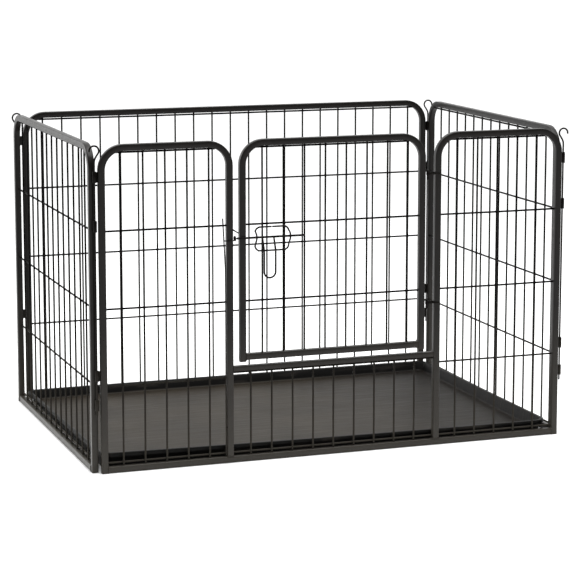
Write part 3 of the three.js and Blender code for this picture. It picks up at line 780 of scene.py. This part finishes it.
def tray_ring(inset, steps=9, straight=10):
    x0, x1, y0, y1 = TRAY[0] + inset, TRAY[1] - inset, TRAY[2] + inset, TRAY[3] - inset
    r = max(TRAY_CORNER - inset, 6)
    corners = [((x1 - r, y0 + r), -90), ((x1 - r, y1 - r), 0),
               ((x0 + r, y1 - r), 90), ((x0 + r, y0 + r), 180)]
    bends = [arc(centre, r, angle, angle + 90, steps) for centre, angle in corners]
    whole = []
    for bend, following in zip(bends, bends[1:] + bends[:1]):
        (ax, ay), (bx, by) = bend[-1], following[0]
        whole += bend
        for k in range(1, straight):
            whole.append((ax + (bx - ax) * k / straight, ay + (by - ay) * k / straight))
    return whole


def rim_height(x, y):
    u = (x - TRAY[0]) / (TRAY[1] - TRAY[0])
    v = (y - TRAY[2]) / (TRAY[3] - TRAY[2])
    return 35 - 7 * v + 11 * (1 - u) ** 2 * (1 - v)


def tray_spot(x, y, z, inset):
    z *= 1 + (rim_height(x, y) / 34 - 1) * min(1, max(0, z / 20))
    if inset > 26:
        dip = noise.noise(Vector((x / 260, y / 190, 0.3))) * 0.5 + 0.5
        z += 0.9 * dip * min(1, (inset - 26) / 60, max(0, 385 - inset) / 60)
    return spot(x, y, z)


# Each profile point is a distance in from the rim's outer edge and a height.
UNDERSIDE = [(17.5, 0), (15.2, 0.8), (13.8, 3), (9.4, 30), (8.6, 31.5), (4, 31.8), (2.6, 31), (2.4, 29),
             (2.3, 26.4)]
TOPSIDE = [(1.8, 25.8), (0.6, 25.8), (0, 26.6), (0, 31.6), (0.7, 33.3), (2.3, 34), (7.8, 34), (9.9, 33.4),
           (11, 31.8), (15.9, 7), (17, 4.6), (19, 3), (22, 2.5)]
FLOOR_RINGS = [(i, 2.5) for i in (30, 55, 95, 150, 215, 285, 345, 385)]
profile = UNDERSIDE + TOPSIDE + FLOOR_RINGS
rings = [[tray_spot(x, y, z, inset) for x, y in tray_ring(inset)] for inset, z in profile]
tray = Work()
size = len(rings[0])
faces = skin(rings)
faces.append(tuple(reversed(range(size))))
faces.append(tuple((len(rings) - 1) * size + i for i in range(size)))
tray.add([v for ring in rings for v in ring], [face[::-1] for face in faces])
finish_piece(tray, "floor_tray_moulding", tray_plastic, "tray_plastic", "tray", "tray", crisp=50)
print("tray has", len(tray.faces), "faces")

# %% [markdown]
# ## The studio
# The pen stands on white paper in front of a white wall. The room is dark behind the viewer, so the front
# of the black coating stays black, and only faces turned towards the wall or the lamps pick up a sheen. A
# large soft light from the left and behind slides along the outside of the left panel and turns it grey.

# %% Floor, light and camera
paper = bpy.data.meshes.new("white_paper_floor")
paper.from_pydata([(-60, -60, 0), (60, -60, 0), (60, 60, 0), (-60, 60, 0)], [], [(0, 1, 2, 3)])
floor = bpy.data.objects.new("white_paper_floor", paper)
bpy.context.scene.collection.objects.link(floor)
white, tree, place = blank_material("white_paper")
fibre = add_node(tree, "ShaderNodeTexNoise", {"Scale": 1 / 0.004}, Vector=place)
shade = add_node(tree, "ShaderNodeValToRGB", {"stops": [(0.4, "#fafafa"), (0.6, "#fcfcfc")]},
                 Fac=fibre.outputs["Fac"])
matt = add_node(tree, "ShaderNodeValToRGB", {"stops": [(0.4, 0.85), (0.6, 0.95)]}, Fac=fibre.outputs["Fac"])
finish_surface(tree, shade.outputs["Color"], matt.outputs["Color"], fibre.outputs["Fac"], 0.02)
paper.materials.append(white)

world = bpy.data.worlds.new("white_studio")
bpy.context.scene.world = world
world.use_nodes = True
tree = world.node_tree
tree.nodes.clear()
around = add_node(tree, "ShaderNodeTexCoord")
way = add_node(tree, "ShaderNodeSeparateXYZ", Vector=around.outputs["Generated"])
behind = add_node(tree, "ShaderNodeMapRange", {"From Min": -0.75, "From Max": 0.1}, Value=way.outputs["Y"])
wall = add_node(tree, "ShaderNodeValToRGB", {"stops": [(0.0, 0.1), (0.5, 0.45), (1.0, 1.0)]},
                Fac=behind.outputs["Result"])
sky = add_node(tree, "ShaderNodeBackground", {"Strength": 1.08}, Color=wall.outputs["Color"])
add_node(tree, "ShaderNodeOutputWorld", None, Surface=sky.outputs["Background"])


def soft_light(name, place, target, wide, high, watts):
    lamp = bpy.data.lights.new(name, "AREA")
    lamp.shape = "RECTANGLE"
    lamp.size, lamp.size_y = wide, high
    lamp.energy = watts
    lit = bpy.data.objects.new(name, lamp)
    lit.location = place
    lit.rotation_euler = (Vector(target) - Vector(place)).to_track_quat("-Z", "Y").to_euler()
    bpy.context.scene.collection.objects.link(lit)
    return lit


# A wide overhead panel, so far away that it lights the whole sheet of paper alike.
panel = bpy.data.lights.new("ceiling_panel", "SUN")
panel.energy = 1.3
panel.angle = math.radians(110)
ceiling = bpy.data.objects.new("ceiling_panel", panel)
bpy.context.scene.collection.objects.link(ceiling)
soft_light("overhead_softbox", (0.4, -0.6, 3.6), (0, 0, 0), 3.0, 2.4, 110)
soft_light("left_rear_softbox", (-3.0, 2.9, 1.3), (-0.62, 0, 0.5), 2.6, 2.0, 38)

camera_data = bpy.data.cameras.new("camera")
camera_data.sensor_width = 36
camera_data.lens = 135.66
camera_data.shift_y = -0.1
camera_data.clip_end = 200
camera = bpy.data.objects.new("camera", camera_data)
camera.location = spot(-1257, -4960, 1366)
camera.rotation_euler = (math.radians(90 - 8.58), 0, math.radians(-19.4))
bpy.context.scene.collection.objects.link(camera)
bpy.context.scene.camera = camera
bpy.context.scene.view_settings.view_transform = "Standard"
print("camera", round((camera.location - spot(613, 424, 400)).length, 2), "m from the middle of the pen")
